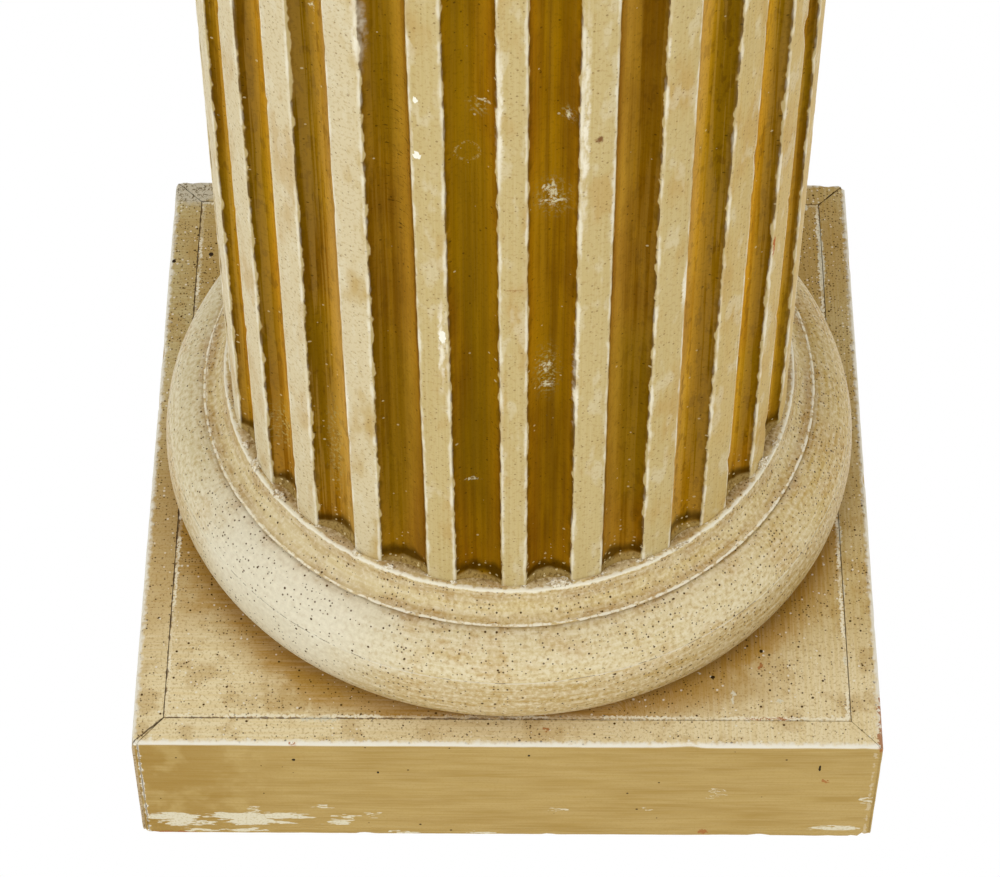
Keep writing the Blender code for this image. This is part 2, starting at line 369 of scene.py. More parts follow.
def shaftPoint(pitchNumber, step, level):  # radius, angle and distance from the nearest arris
    look = shaftLook
    radius = look["radius"]
    leftArris = arrisAt(pitchNumber, 1, level)
    rightArris = arrisAt(pitchNumber + 1, -1, level)
    lastStep = look["pitchSteps"] - 1
    if step in (0, 1, 2, lastStep - 1, lastStep):
        owner = pitchNumber if step < 3 else pitchNumber + 1
        side = 1 if step < 3 else -1
        centre = filletAt(owner, level)[0]
        arris = leftArris if side == 1 else rightArris
        half = math.radians(abs(arris - centre)) * radius
        place = step if step < 3 else look["pitchSteps"] - step
        fromArris = {0: half, 1: half * 0.45, 2: look["arrisRound"]}[place]
        return radius, arris - side * math.degrees(fromArris / radius), -fromArris
    if step in (3, lastStep - 2):
        arris = leftArris if step == 3 else rightArris
        return radius - 0.00018, arris, 0.0
    halfFlute = math.radians(rightArris - leftArris) / 2
    middle = (leftArris + rightArris) / 2
    chordHalf = radius * math.sin(halfFlute)
    chordAt = radius * math.cos(halfFlute)
    depth = look["fluteDepth"]
    curve = (chordHalf ** 2 + depth ** 2) / (2 * depth)
    sweepHalf = math.atan2(chordHalf, curve - depth)
    share = fluteShares[step - 4]
    inward = chordAt - depth + curve - curve * math.cos(sweepHalf * share)
    across = curve * math.sin(sweepHalf * share)
    reach = math.hypot(inward, across)
    return reach, middle + math.degrees(math.atan2(across, inward)), (1 - abs(share)) * sweepHalf * curve


def makeShaft():
    look = shaftLook
    stepCount = look["flutes"] * look["pitchSteps"]
    foot = ledgeLevel + hairGap
    shaft = startPiece("flutedShaft", bpy.ops.mesh.primitive_cylinder_add, vertices=stepCount,
                       radius=look["radius"], depth=shaftHigh.z - foot,
                       location=(0, 0, (shaftHigh.z + foot) / 2))
    cutAcross(shaft, 2, (10, 19))
    gaps = []
    for vertex in shaft.data.vertices:
        level = vertex.co.z
        index = round(math.atan2(vertex.co.x, -vertex.co.y) / (2 * math.pi) * stepCount) % stepCount
        reach, degrees, gap = shaftPoint(index // look["pitchSteps"], index % look["pitchSteps"], level)
        spot = around(degrees, reach, level)
        reach += look["surfaceWave"] * (noise.noise(spot * 60) - 1)
        if abs(gap) < 0.002 and level < shaftHigh.z - 0.002:
            reach -= look["arrisNick"] * max(0.0, noise.noise(spot * 110) - 0.28)
        # gesso and dust sweep each flute's foot outwards
        swept = max(0.0, 1 - (level - foot) / look["footCove"])
        reach += swept ** 2 * look["footSweep"] * max(0.0, look["radius"] - 0.001 - reach)
        vertex.co = around(degrees, reach, level)
        gaps.append(gap)
    attribute = shaft.data.attributes.new("arrisGap", "FLOAT", "POINT")
    attribute.data.foreach_set("value", gaps)
    return closeUp(shaft, 38)


neckLook = {
    "steps": 288, "annulet": 0.0028, "annuletHeight": 0.010, "quirk": 0.0015, "quirkHeight": 0.002,
    "ovolo": 0.0130, "ovoloHeight": 0.026, "bandWidth": 0.0015, "wobble": 0.00015, "brimWear": 0.0012,
    "brimReach": 0.0022,
}


def makeNeck():
    look = neckLook
    annulet = shaftLook["radius"] + look["annulet"]
    foot = shaftHigh.z + hairGap
    throat = annulet - look["quirk"]
    ovoloFoot = neckLow.z + look["annuletHeight"] + look["quirkHeight"]
    bandFoot = ovoloFoot + look["ovoloHeight"]
    band = throat + look["ovolo"] + look["bandWidth"]
    profile = [(annulet - 0.004, foot), (annulet - 0.0005, foot)]
    profile += arcPoints((annulet - 0.0006, foot + look["annuletHeight"] / 2), 0.0006,
                         look["annuletHeight"] / 2, -80, 80, 8)
    profile += [(throat, ovoloFoot - look["quirkHeight"] * 0.7), (throat, ovoloFoot)]
    profile += arcPoints((throat, bandFoot), look["ovolo"], look["ovoloHeight"], -86, -3, 12)
    profile += [(band - 0.0006, bandFoot + 0.0001), (band, bandFoot + 0.0007), (band, neckHigh.z - 0.0007),
                (band - 0.0006, neckHigh.z), (band - 0.006, neckHigh.z)]
    neck = turnUp("neckMoulding", profile, look["steps"])
    wearTurned(neck, [(annulet, foot + 0.005), (band, bandFoot + 0.0007)], look)
    return closeUp(neck)


topLook = {"arrisRound": 0.0026, "wave": 0.0002, "nickDepth": 0.0026, "wearReach": 0.004}


def makeTopBoard():
    look = topLook
    half = topHigh.x
    board = startPiece("topBoard", bpy.ops.mesh.primitive_cube_add, size=1,
                       location=(0, 0, (topLow.z + topHigh.z) / 2),
                       scale=(2 * half, 2 * half, topHigh.z - topLow.z))
    pick(board, "EDGE", lambda first, second: True)
    bpy.ops.mesh.bevel(offset=look["arrisRound"], segments=4, affect="EDGES")
    for axis, cutCounts in enumerate(((9, 6), (9, 6), (9,))):
        cutAcross(board, axis, cutCounts)
    for vertex in board.data.vertices:
        spot = vertex.co
        wave = look["wave"] * (1 + noise.noise(spot * 24) + 0.5 * noise.noise(spot * 120))
        nick = look["nickDepth"] * max(0.0, noise.noise(spot * 80) - 0.3)
        for axis in (0, 1):
            outside = max(0.0, 1 - (half - abs(spot[axis])) / look["wearReach"])
            spot[axis] -= math.copysign(outside * (wave + nick), spot[axis])
        if spot.z > topHigh.z - look["wearReach"]:
            spot.z -= wave * 0.5
    return closeUp(board)


gessoLook = {
    "crumbsPerFillet": 2, "crumbSize": 0.0011,
    "chunks": [  # angle from the front in degrees, radius, height, then length, depth and height
        (10.5, 0.1366, 0.1520, 0.0050, 0.0024, 0.0011), (35.5, 0.1383, 0.1517, 0.0048, 0.0012, 0.0006),
        (-24.0, 0.1372, 0.1520, 0.0022, 0.0016, 0.0009), (-52.0, 0.1374, 0.1524, 0.0038, 0.0024, 0.0016),
        (-61.0, 0.1372, 0.1528, 0.0036, 0.0026, 0.0022), (-66.5, 0.1368, 0.1524, 0.0018, 0.0018, 0.0014),
        (62.0, 0.1366, 0.1534, 0.0046, 0.0020, 0.0036), (68.0, 0.1380, 0.1526, 0.0026, 0.0018, 0.0016),
        (-31.0, 0.1376, 0.1518, 0.0024, 0.0014, 0.0008), (29.0, 0.1374, 0.1519, 0.0020, 0.0014, 0.0008),
        (140.0, 0.1376, 0.1520, 0.0034, 0.0020, 0.0012), (-118.0, 0.1376, 0.1520, 0.0030, 0.0018, 0.0010)],
}


def makeChunk(name, degrees, radius, level, size, seed):
    chunk = startPiece(name, bpy.ops.mesh.primitive_ico_sphere_add, subdivisions=4, radius=1)
    drift = Vector((seed * 1.7, seed * 2.3, seed * 0.9))
    for vertex in chunk.data.vertices:
        torn = noise.noise(vertex.co * 1.3 + drift) + 0.5 * noise.noise(vertex.co * 3.1 + drift)
        flat = 0.78 + 0.22 * noise.cell(vertex.co * 1.6 + drift)  # facets where gesso snapped
        vertex.co *= flat * (1 + 0.75 * torn)
    chunk.data.transform(Matrix.Diagonal((*size, 1)))
    chunk.data.transform(Matrix.Rotation(math.radians(degrees), 4, "Z"))
    chunk.data.transform(Matrix.Translation(around(degrees, radius, level)))
    return chunk


def makeBrokenGesso():  # lumps and crumbs of gesso left on the ledge
    look = gessoLook
    draws = random.Random(7)
    lumps = []
    for number, chunk in enumerate(look["chunks"]):
        lumps.append(makeChunk("gessoLump", *chunk[:3], chunk[3:], number))
    for fillet in range(shaftLook["flutes"]):
        centre, half = filletAt(fillet, shaftLow.z)
        for crumb in range(look["crumbsPerFillet"]):
            side = 1 if crumb % 2 else -1
            size = look["crumbSize"] * draws.uniform(0.5, 1.2)
            lumps.append(makeChunk("gessoCrumb", centre + side * half * draws.uniform(0.6, 1.3),
                                   shaftLook["radius"] - draws.uniform(0.0, 0.001), ledgeLevel + size * 0.2,
                                   (size * 1.5, size, size * 0.7), draws.uniform(0, 90)))
    deselectAll()
    for lump in lumps:
        lump.select_set(True)
    bpy.context.view_layer.objects.active = lumps[0]
    bpy.ops.object.join()
    gesso = bpy.context.object
    gesso.name = "brokenGesso"
    gesso.data.name = "brokenGesso"
    return closeUp(gesso, 60)


# Helpers for materials

def shade(red, green, blue):  # an 8-bit screen colour as Blender's linear one
    values = [share / 255 for share in (red, green, blue)]
    return tuple(v / 12.92 if v < 0.04045 else ((v + 0.055) / 1.055) ** 2.4 for v in values) + (1.0,)


canvas = {}  # holds the node tree that these helpers add to


def openTree(tree):
    canvas["tree"] = tree
    return tree


def put(kind, sockets=None, **settings):
    tree = canvas["tree"]
    made = tree.nodes.new("ShaderNode" + kind)
    for name, value in settings.items():
        setattr(made, name, value)
    for key, value in (sockets or {}).items():
        if isinstance(value, bpy.types.NodeSocket):
            tree.links.new(value, made.inputs[key])
        else:
            made.inputs[key].default_value = value
    return made


def calc(operation, first, second=0.0):
    return put("Math", {0: first, 1: second}, operation=operation).outputs[0]


def times(product, *others):  # masks or numbers multiplied together
    for other in others:
        product = calc("MULTIPLY", product, other)
    return product


def plus(first, second):
    return calc("ADD", first, second)


def less(first, second):
    return calc("SUBTRACT", first, second)


def move(operation, first, second=(0, 0, 0)):
    made = put("VectorMath", {0: first, 1: second}, operation=operation)
    return made.outputs["Value" if operation == "LENGTH" else "Vector"]


def fade(value, zeroAt, oneAt):  # 0 at one value, 1 at the other, smooth between
    made = put("MapRange", {"Value": value, "From Min": zeroAt, "From Max": oneAt},
               interpolation_type="SMOOTHSTEP")
    return made.outputs[0]


def grain(vector, scale, detail=3.0, roughness=0.55, output=0, kind="3D"):
    sockets = {"Vector": vector, "Scale": scale, "Detail": detail, "Roughness": roughness}
    return put("TexNoise", sockets, noise_dimensions=kind).outputs[output]


def blendColour(share, first, second):
    return put("Mix", {0: share, 6: first, 7: second}, data_type="RGBA").outputs[2]


def blendValue(share, first, second):
    return put("Mix", {0: share, 2: first, 3: second}, data_type="FLOAT").outputs[0]


def newGroup(name, takes, gives):
    group = openTree(bpy.data.node_groups.new(name, "ShaderNodeTree"))
    for label, kind in takes.items():
        group.interface.new_socket(name=label, in_out="INPUT", socket_type="NodeSocket" + kind)
    for label, kind in gives.items():
        group.interface.new_socket(name=label, in_out="OUTPUT", socket_type="NodeSocket" + kind)
    entry = group.nodes.new("NodeGroupInput").outputs
    leave = group.nodes.new("NodeGroupOutput").inputs
    return group, entry, leave


def use(effect, sockets):
    return put("Group", sockets, node_tree=effect).outputs[0]


# Shared effects

def makeFlySpecks(kind):  # dark dots, each with its own size, in a share of the cells
    group, given, gives = newGroup("flySpecks" + kind, {
        "Vector": "Vector", "Scale": "Float", "Share": "Float", "Size": "Float"}, {"Mask": "Float"})
    cells = put("TexVoronoi", {"Vector": given["Vector"], "Scale": given["Scale"]}, voronoi_dimensions=kind)
    parts = put("SeparateColor", {0: cells.outputs["Color"]})
    present = calc("LESS_THAN", parts.outputs[0], given["Share"])
    size = times(given["Size"], plus(parts.outputs[1], 0.45))
    mask = fade(cells.outputs["Distance"], size, times(size, 0.6))
    group.links.new(times(mask, present), gives["Mask"])
    return group


def makeRaggedBand():  # 1 where a distance, made uneven by a noise of 0 to 1, is inside a width
    group, given, gives = newGroup("raggedBand", {
        "Rough": "Float", "Distance": "Float", "Inner": "Float", "Outer": "Float", "Ragged": "Float"},
        {"Mask": "Float"})
    uneven = times(less(given["Rough"], 0.5), given["Ragged"])
    moved = plus(calc("ABSOLUTE", given["Distance"]), uneven)
    group.links.new(fade(moved, given["Outer"], given["Inner"]), gives["Mask"])
    return group


def makeRingDistance():  # how far a point is from a level circle round the axis
    group, given, gives = newGroup(
        "ringDistance", {"Vector": "Vector", "Radius": "Float", "Height": "Float"}, {"Distance": "Float"})
    flat = move("LENGTH", move("MULTIPLY", given["Vector"], (1, 1, 0)))
    level = put("SeparateXYZ", {0: given["Vector"]}).outputs[2]
    away = put("CombineXYZ", {0: less(flat, given["Radius"]), 1: less(level, given["Height"])}).outputs[0]
    group.links.new(move("LENGTH", away), gives["Distance"])
    return group


def makePaintLoss():  # how far out of one mark a point is: 1 on its outline
    group, given, gives = newGroup(
        "paintLoss", {"Vector": "Vector", "Centre": "Vector", "Size": "Vector"}, {"Reach": "Float"})
    away = move("DIVIDE", move("SUBTRACT", given["Vector"], given["Centre"]), given["Size"])
    group.links.new(move("LENGTH", away), gives["Reach"])
    return group


def makeBrushMarks(kind):  # long streaks; the grain vector's small parts are the long ways
    group, given, gives = newGroup(
        "brushMarks" + kind, {"Vector": "Vector", "Grain": "Vector"}, {"Mask": "Float"})
    streaks = grain(move("MULTIPLY", given["Vector"], given["Grain"]), 1.0, 3, 0.62, kind=kind)
    group.links.new(fade(streaks, 0.30, 0.70), gives["Mask"])
    return group


def makeGrime():  # patches where noise passes a level
    group, given, gives = newGroup("grime", {
        "Vector": "Vector", "Scale": "Float", "From": "Float", "To": "Float"}, {"Mask": "Float"})
    rough = grain(given["Vector"], given["Scale"], 3, 0.62, kind="2D")
    group.links.new(fade(rough, given["From"], given["To"]), gives["Mask"])
    return group


effectMakers = (makeFlySpecks, makeBrushMarks)
solidEffects = [make("3D") for make in effectMakers]
flatEffects = [make("2D") for make in effectMakers]  # quicker, for surfaces laid out flat
grime = makeGrime()
raggedBand = makeRaggedBand()
ringDistance = makeRingDistance()
paintLoss = makePaintLoss()
print("shared effects made")


def newPaint(name):  # a material and the object's coordinates
    material = bpy.data.materials.new(name)
    material.use_nodes = True
    tree = openTree(material.node_tree)
    return material, tree.nodes.new("ShaderNodeTexCoord").outputs["Object"]


def coat(paint, mask, colour, rough=None, strength=1.0):  # lays one coat over what is there
    if strength != 1.0:
        mask = times(mask, strength)
    paint["colour"] = blendColour(mask, paint["colour"], colour)
    if rough is not None:
        paint["rough"] = blendValue(mask, paint["rough"], rough)


def finishPaint(paint, specular=0.12, tint=(1.0, 1.0, 1.0, 1.0)):
    tree = canvas["tree"]
    shader = tree.nodes["Principled BSDF"]
    shader.inputs["Specular IOR Level"].default_value = specular
    shader.inputs["Specular Tint"].default_value = tint
    tree.links.new(paint["colour"], shader.inputs["Base Color"])
    tree.links.new(paint["rough"], shader.inputs["Roughness"])
    if "metal" in paint:
        tree.links.new(paint["metal"], shader.inputs["Metallic"])
    relief = put("Bump", {"Strength": 1.0, "Distance": 1.0, "Height": paint["rise"]})
    tree.links.new(relief.outputs[0], shader.inputs["Normal"])


def speckle(effect, vector, scale, share, size):
    return use(effect, {"Vector": vector, "Scale": scale, "Share": share, "Size": size})


def band(rough, distance, inner, outer, ragged):
    return use(raggedBand, {"Rough": rough, "Distance": distance, "Inner": inner, "Outer": outer,
                            "Ragged": ragged})


def ring(place, rough, radius, height, inner, outer, ragged):  # a band round the axis
    distance = use(ringDistance, {"Vector": place, "Radius": radius, "Height": height})
    return band(rough, distance, inner, outer, ragged)


def patches(ragged, places, soft=0.08):  # one mask for a list of marks, each a centre and half sizes
    nearest = None
    for centre, size in places:
        reach = use(paintLoss, {"Vector": ragged, "Centre": centre, "Size": size})
        nearest = reach if nearest is None else calc("MINIMUM", nearest, reach)
    return fade(nearest, 1 + soft, 1 - soft)


def shaking(flat, scales):  # noise of -0.5 to 0.5 each way
    noisy = grain(move("MULTIPLY", flat, scales), 1.0, 2, 0.65, "Color", "2D")
    return move("SUBTRACT", noisy, (0.5, 0.5, 0.5))


def roughened(place, shaken, reach):  # the coordinates shaken by noise, for ragged outlines
    return move("ADD", place, move("MULTIPLY", shaken, reach))


specks = shade(74, 47, 2)
gesso = shade(226, 221, 205)


def topMarks(marks, deep=0.003):  # marks on the plinth's top: place across and along, then half sizes
    return [((x, y, plinthTop), (wide, long, deep)) for x, y, wide, long in marks]


def frontMarks(marks):  # marks on its front face: place across and up, then half sizes
    return [((x, -plinthHalf, z), (wide, 0.004, tall)) for x, z, wide, tall in marks]


plinthPaint = {
    "topFront": shade(216, 198, 152), "topBack": shade(184, 165, 110), "warm": shade(184, 158, 96),
    "face": shade(175, 147, 83), "faceDark": shade(163, 133, 66), "faceLight": shade(190, 166, 112),
    "brushed": shade(232, 223, 192), "glaze": shade(162, 118, 24), "deepGlaze": shade(148, 100, 10),
    "blotch": shade(164, 125, 44), "mottle": shade(148, 108, 32), "faceStain": shade(148, 113, 36),
    "ridge": shade(230, 222, 196), "seamLine": shade(84, 52, 14), "mitre": shade(60, 38, 12),
    "openMitre": shade(54, 36, 14), "endGrain": (shade(176, 156, 122), shade(96, 74, 46)),
    "chip": (shade(210, 203, 178), shade(194, 182, 146)), "bareWood": shade(160, 100, 48),
    "crackle": (shade(196, 188, 166), shade(96, 80, 50)), "deepSpeck": shade(44, 27, 2),
    "torusFoot": 0.160,
    "stains": topMarks([  # broad soft patches of glaze
        (-0.1680, -0.0560, 0.0260, 0.0620), (0.1000, -0.1420, 0.0300, 0.0160),
        (-0.0950, -0.1500, 0.0260, 0.0080), (-0.1450, 0.1300, 0.0300, 0.0360),
        (0.1500, 0.1350, 0.0300, 0.0420)], 0.02),
    "crackled": topMarks([(-0.1680, 0.1700, 0.0120, 0.0084)], 0.004),
    "lostGlaze": frontMarks([
        (-0.1625, 0.0158, 0.0115, 0.0034), (-0.1590, 0.0110, 0.0068, 0.0046),
        (-0.1467, 0.0103, 0.0036, 0.0026), (-0.1255, 0.0125, 0.0115, 0.0044),
        (-0.1300, 0.0174, 0.0160, 0.0026), (-0.1219, 0.0215, 0.0012, 0.0040),
        (-0.1060, 0.0165, 0.0110, 0.0026), (-0.0907, 0.0258, 0.0022, 0.0012),
        (-0.0760, 0.0168, 0.0058, 0.0014), (-0.0805, 0.0112, 0.0055, 0.0024),
        (-0.0662, 0.0190, 0.0020, 0.0011), (-0.1500, 0.0035, 0.0060, 0.0014),
        (-0.1130, 0.0110, 0.0080, 0.0011), (-0.1280, 0.0040, 0.0110, 0.0010),
        (0.1009, 0.0396, 0.0009, 0.0046), (0.1745, 0.0345, 0.0026, 0.0024),
        (0.1606, 0.0085, 0.0130, 0.0018), (-0.0498, 0.0026, 0.0052, 0.0016),
        (-0.0131, 0.0024, 0.0050, 0.0012), (0.0255, 0.0244, 0.0022, 0.0010),
        (0.0665, 0.0243, 0.0014, 0.0008)]),
    "flakes": topMarks([
        (0.1634, -0.0522, 0.0011, 0.0076), (0.1630, 0.1263, 0.0013, 0.0250),
        (0.1623, -0.1288, 0.0012, 0.0019), (0.1076, -0.1502, 0.0007, 0.0043),
        (0.1780, -0.0374, 0.0024, 0.0030), (0.1545, 0.1610, 0.0030, 0.0020),
        (-0.0889, -0.1637, 0.0096, 0.0010), (0.1638, -0.0870, 0.0004, 0.0060),
        (0.0927, -0.1362, 0.0009, 0.0010), (0.1299, -0.1521, 0.0012, 0.0010)]),
    "deepSpecks": topMarks([
        (-0.1564, 0.1266, 0.0012, 0.0013), (-0.1755, 0.1217, 0.0011, 0.0012),
        (0.0984, -0.1385, 0.0010, 0.0010), (0.1220, -0.1233, 0.0009, 0.0010)]) + frontMarks([
            (-0.1015, 0.0672, 0.0008, 0.0010), (0.1490, 0.0620, 0.0006, 0.0024),
            (0.0104, 0.0718, 0.0007, 0.0008), (-0.0616, 0.0562, 0.0006, 0.0008)]),
    "wornWood": topMarks([
        (0.1214, -0.1325, 0.0014, 0.0016), (0.1241, -0.1624, 0.0120, 0.0004),
        (0.0184, -0.1687, 0.0011, 0.0013)]) + frontMarks([
            (0.1522, 0.0508, 0.0014, 0.0012), (0.0959, 0.0045, 0.0017, 0.0020)]) + [
        # on the arrises: centre and half sizes
        ((0.1772, -0.1742, 0.079), (0.0022, 0.0046, 0.004)),
        ((-0.1640, -0.178, 0.0010), (0.0140, 0.005, 0.0013)),
        ((0.1776, -0.1600, 0.0795), (0.0014, 0.0120, 0.002)),
        ((-0.1014, -0.1772, 0.0805), (0.0017, 0.0007, 0.002))],
}


def paintPlinth(name, front=False):
    look = plinthPaint
    flySpecks, brushMarks = flatEffects
    material, place = newPaint(name)

    def marksHere(kind):  # the front face's marks are only on the front board
        return [mark for mark in look[kind] if front or mark[0][1] > -0.1765]

    across, along, level = put("SeparateXYZ", {0: place}).outputs
    farX = calc("ABSOLUTE", across)
    farY = calc("ABSOLUTE", along)
    below = less(plinthTop, level)
    inFromFace = less(plinthHalf, calc("MAXIMUM", farX, farY))
    fromCorner = plus(inFromFace, less(plinthHalf, calc("MINIMUM", farX, farY)))
    onTop = fade(below, 0.0026, 0.0008)
    onFace = less(1.0, onTop)
    # the top as seen from above, and the faces laid out flat
    flat = put("CombineXYZ", {0: blendValue(onFace, across, plus(across, along)),
                              1: blendValue(onFace, along, level)}).outputs[0]
    fine = grain(flat, 760, 2, 0.6, kind="2D")
    mottle = grain(flat, 48, 3, 0.6, kind="2D")
    edges = grain(flat, 250, 2.5, 0.65, kind="2D")  # for ragged outlines
    mottled = fade(fine, 0.52, 0.70)

    drift = times(mottle, 0.10)
    back = fade(plus(along, drift), -0.10, 0.16)
    topColour = blendColour(back, look["topFront"], look["topBack"])
    warm = times(fade(plus(across, drift), -0.08, 0.24), fade(along, -0.155, -0.09))
    topColour = blendColour(times(warm, 0.8), topColour, look["warm"])
    frontToBack = times(fade(across, 0.05, 0.10), onTop)  # which way it was brushed
    brushWay = put("CombineXYZ", {0: blendValue(frontToBack, 24, 700),
                                  1: blendValue(frontToBack, 760, 26)}).outputs[0]
    brushed = use(brushMarks, {"Vector": flat, "Grain": brushWay})
    stretched = move("MULTIPLY", flat, (0.5, 3.4, 1))
    cloudy = use(grime, {"Vector": stretched, "Scale": 30, "From": 0.30, "To": 0.68})
    faceColour = blendColour(cloudy, look["faceDark"], look["face"])
    faceColour = blendColour(times(brushed, 0.38), faceColour, look["faceLight"])
    faceColour = blendColour(times(mottled, 0.30), faceColour, look["faceDark"])
    paint = {"colour": blendColour(onFace, topColour, faceColour),
             "rough": blendValue(onFace, 0.62, 0.48), "rise": times(fine, 0.00008)}
    paler = times(onTop, blendValue(calc("MAXIMUM", back, warm), 0.40, 0.20))
    coat(paint, times(brushed, paler), look["brushed"])

    # brown glaze and dirt that pooled round the torus
    foot = ring(place, mottle, look["torusFoot"], plinthTop, 0.008, 0.030, 0.030)
    onPanel = blendValue(fade(inFromFace, seamInset - 0.001, seamInset + 0.002), 0.20, 1.0)
    scrubbed = times(onPanel, onTop, blendValue(brushed, 1.0, 0.70))
    coat(paint, times(foot, scrubbed), look["glaze"], 0.5, strength=0.84)
    tight = ring(place, edges, look["torusFoot"], plinthTop, 0.006, 0.017, 0.005)
    coat(paint, times(tight, scrubbed), look["deepGlaze"], strength=0.40)
    drifted = roughened(place, less(mottle, 0.5), (0.05, 0.05, 0.0))
    stained = patches(drifted, look["stains"], 0.6)
    dirty = fade(mottle, 0.50, 0.66)
    blotches = calc("MAXIMUM", stained, times(dirty, 0.7))
    coat(paint, times(blotches, onTop), look["blotch"], strength=0.54)
    coat(paint, times(mottled, onTop), look["mottle"], strength=0.42)
    leftEnd = times(fade(across, -0.08, -0.17), fade(mottle, 0.34, 0.56))
    coat(paint, times(leftEnd, onFace), look["faceStain"], strength=0.58)

    crowd = plus(plus(times(dirty, 0.34), times(back, 0.42)), 0.08)
    small = times(speckle(flySpecks, flat, 560, crowd, 0.23), onTop, 0.85)
    middling = speckle(flySpecks, flat, 200, blendValue(onFace, 0.26, 0.02), 0.11)
    coat(paint, calc("MAXIMUM", small, middling), specks)
    crumbs = speckle(flySpecks, flat, 350, plus(times(back, 0.22), 0.08), 0.18)
    coat(paint, times(crumbs, onTop), gesso, 0.8, strength=0.75)

    # arrises worn to the gesso
    topWear = band(edges, inFromFace, 0.0008, 0.0032, 0.0050)
    faceWear = fade(plus(below, times(mottle, 0.0012)), 0.0026, 0.0020)
    coat(paint, times(topWear, faceWear), gesso, 0.75, strength=0.94)
    cornerWear = band(edges, less(fromCorner, 0.0034), 0.0, 0.0008, 0.0056)
    wornCorner = times(onFace, blendValue(fade(across, 0.10, 0.17), 0.8, 0.25))
    coat(paint, times(cornerWear, wornCorner), gesso, 0.75)
    coat(paint, band(mottle, level, 0.0002, 0.0008, 0.0056), gesso, 0.75, strength=0.75)

    # seam round the panel: a crumbly light ridge and a dark line, both broken
    seamGap = less(inFromFace, seamInset)
    ridge = band(fine, less(seamGap, 0.0011), 0.0003, 0.0012, 0.0044)
    broken = blendValue(fade(mottle, 0.42, 0.54), 0.25, 1.0)
    coat(paint, times(ridge, onTop, broken), look["ridge"], 0.8, strength=0.90)
    crack = band(edges, seamGap, 0.0001, 0.0005, 0.0024)
    cracked = times(onTop, blendValue(fade(across, -0.02, 0.08), 0.9, 0.3))
    coat(paint, times(crack, cracked), look["seamLine"], strength=0.80)

    # mitres: the left board's end, bared at the open one, then the dark lines
    boardEnd = fade(across, 0.0020 - plinthHalf, 0.0012 - plinthHalf)
    bared = times(boardEnd, onFace, fade(along, -0.170, -0.177))
    coat(paint, bared, blendColour(mottled, *look["endGrain"]), 0.8, strength=0.9)
    if front:
        frontMitre = band(edges, plus(across, plinthHalf - 0.0028), 0.0002, 0.0007, 0.0016)
        coat(paint, times(frontMitre, onFace), look["openMitre"], strength=0.85)
    onBoard = times(onTop, fade(inFromFace, seamInset + 0.0006, seamInset - 0.0006))
    mitreLine = band(edges, less(farX, farY), 0.0002, 0.0008, 0.0024)
    openMitre = calc("MAXIMUM", fade(along, -0.10, -0.05), fade(across, 0.10, 0.05))
    coat(paint, times(mitreLine, onBoard, openMitre), look["mitre"], strength=0.85)

    # single marks
    chipColour = blendColour(mottled, *look["chip"])
    if front:
        streaky = roughened(place, shaking(flat, (110, 560, 1)), (0.026, 0.0, 0.006))
        coat(paint, patches(streaky, look["lostGlaze"]), chipColour, 0.8, strength=0.95)
    shaken = shaking(flat, (400, 400, 1))
    ragged = roughened(place, shaken, (0.0048, 0.0048, 0.0048))
    if not front:  # the back left corner, where the gesso is crackled
        crackle = fade(calc("ABSOLUTE", less(edges, 0.5)), 0.040, 0.006)
        crackled = patches(ragged, look["crackled"], 0.3)
        coat(paint, crackled, blendColour(crackle, *look["crackle"]), 0.8, strength=0.9)
    coat(paint, patches(ragged, marksHere("flakes")), chipColour, 0.8, strength=0.90)
    coat(paint, patches(ragged, marksHere("wornWood")), look["bareWood"], 0.7, strength=0.85)
    crisp = roughened(place, shaken, (0.0008, 0.0008, 0.0008))
    coat(paint, patches(crisp, marksHere("deepSpecks")), look["deepSpeck"], 0.4)
    finishPaint(paint)
    return material


basePaintLook = {
    "cool": shade(198, 184, 142), "cream": shade(205, 188, 143), "warm": shade(185, 157, 86),
    "paintedHighlight": shade(222, 218, 201), "stain": shade(180, 147, 82), "underSeam": shade(174, 146, 84),
    "lowest": shade(208, 168, 70), "cove": shade(202, 180, 122), "glaze": shade(150, 108, 36),
    "streak": shade(234, 227, 204), "rubbed": shade(232, 224, 198), "grain": shade(162, 124, 54),
    "line": shade(230, 224, 202), "hair": shade(96, 72, 40),
    "dust": (shade(164, 140, 92), shade(206, 190, 150)), "ledgeDirt": shade(100, 70, 26),
    "unrollRadius": 0.155,
    "paleFront": [((-0.105, -0.115, 0.12), (0.065, 0.055, 0.05))],  # centre and half sizes of a painted highlight on the torus's front left
}


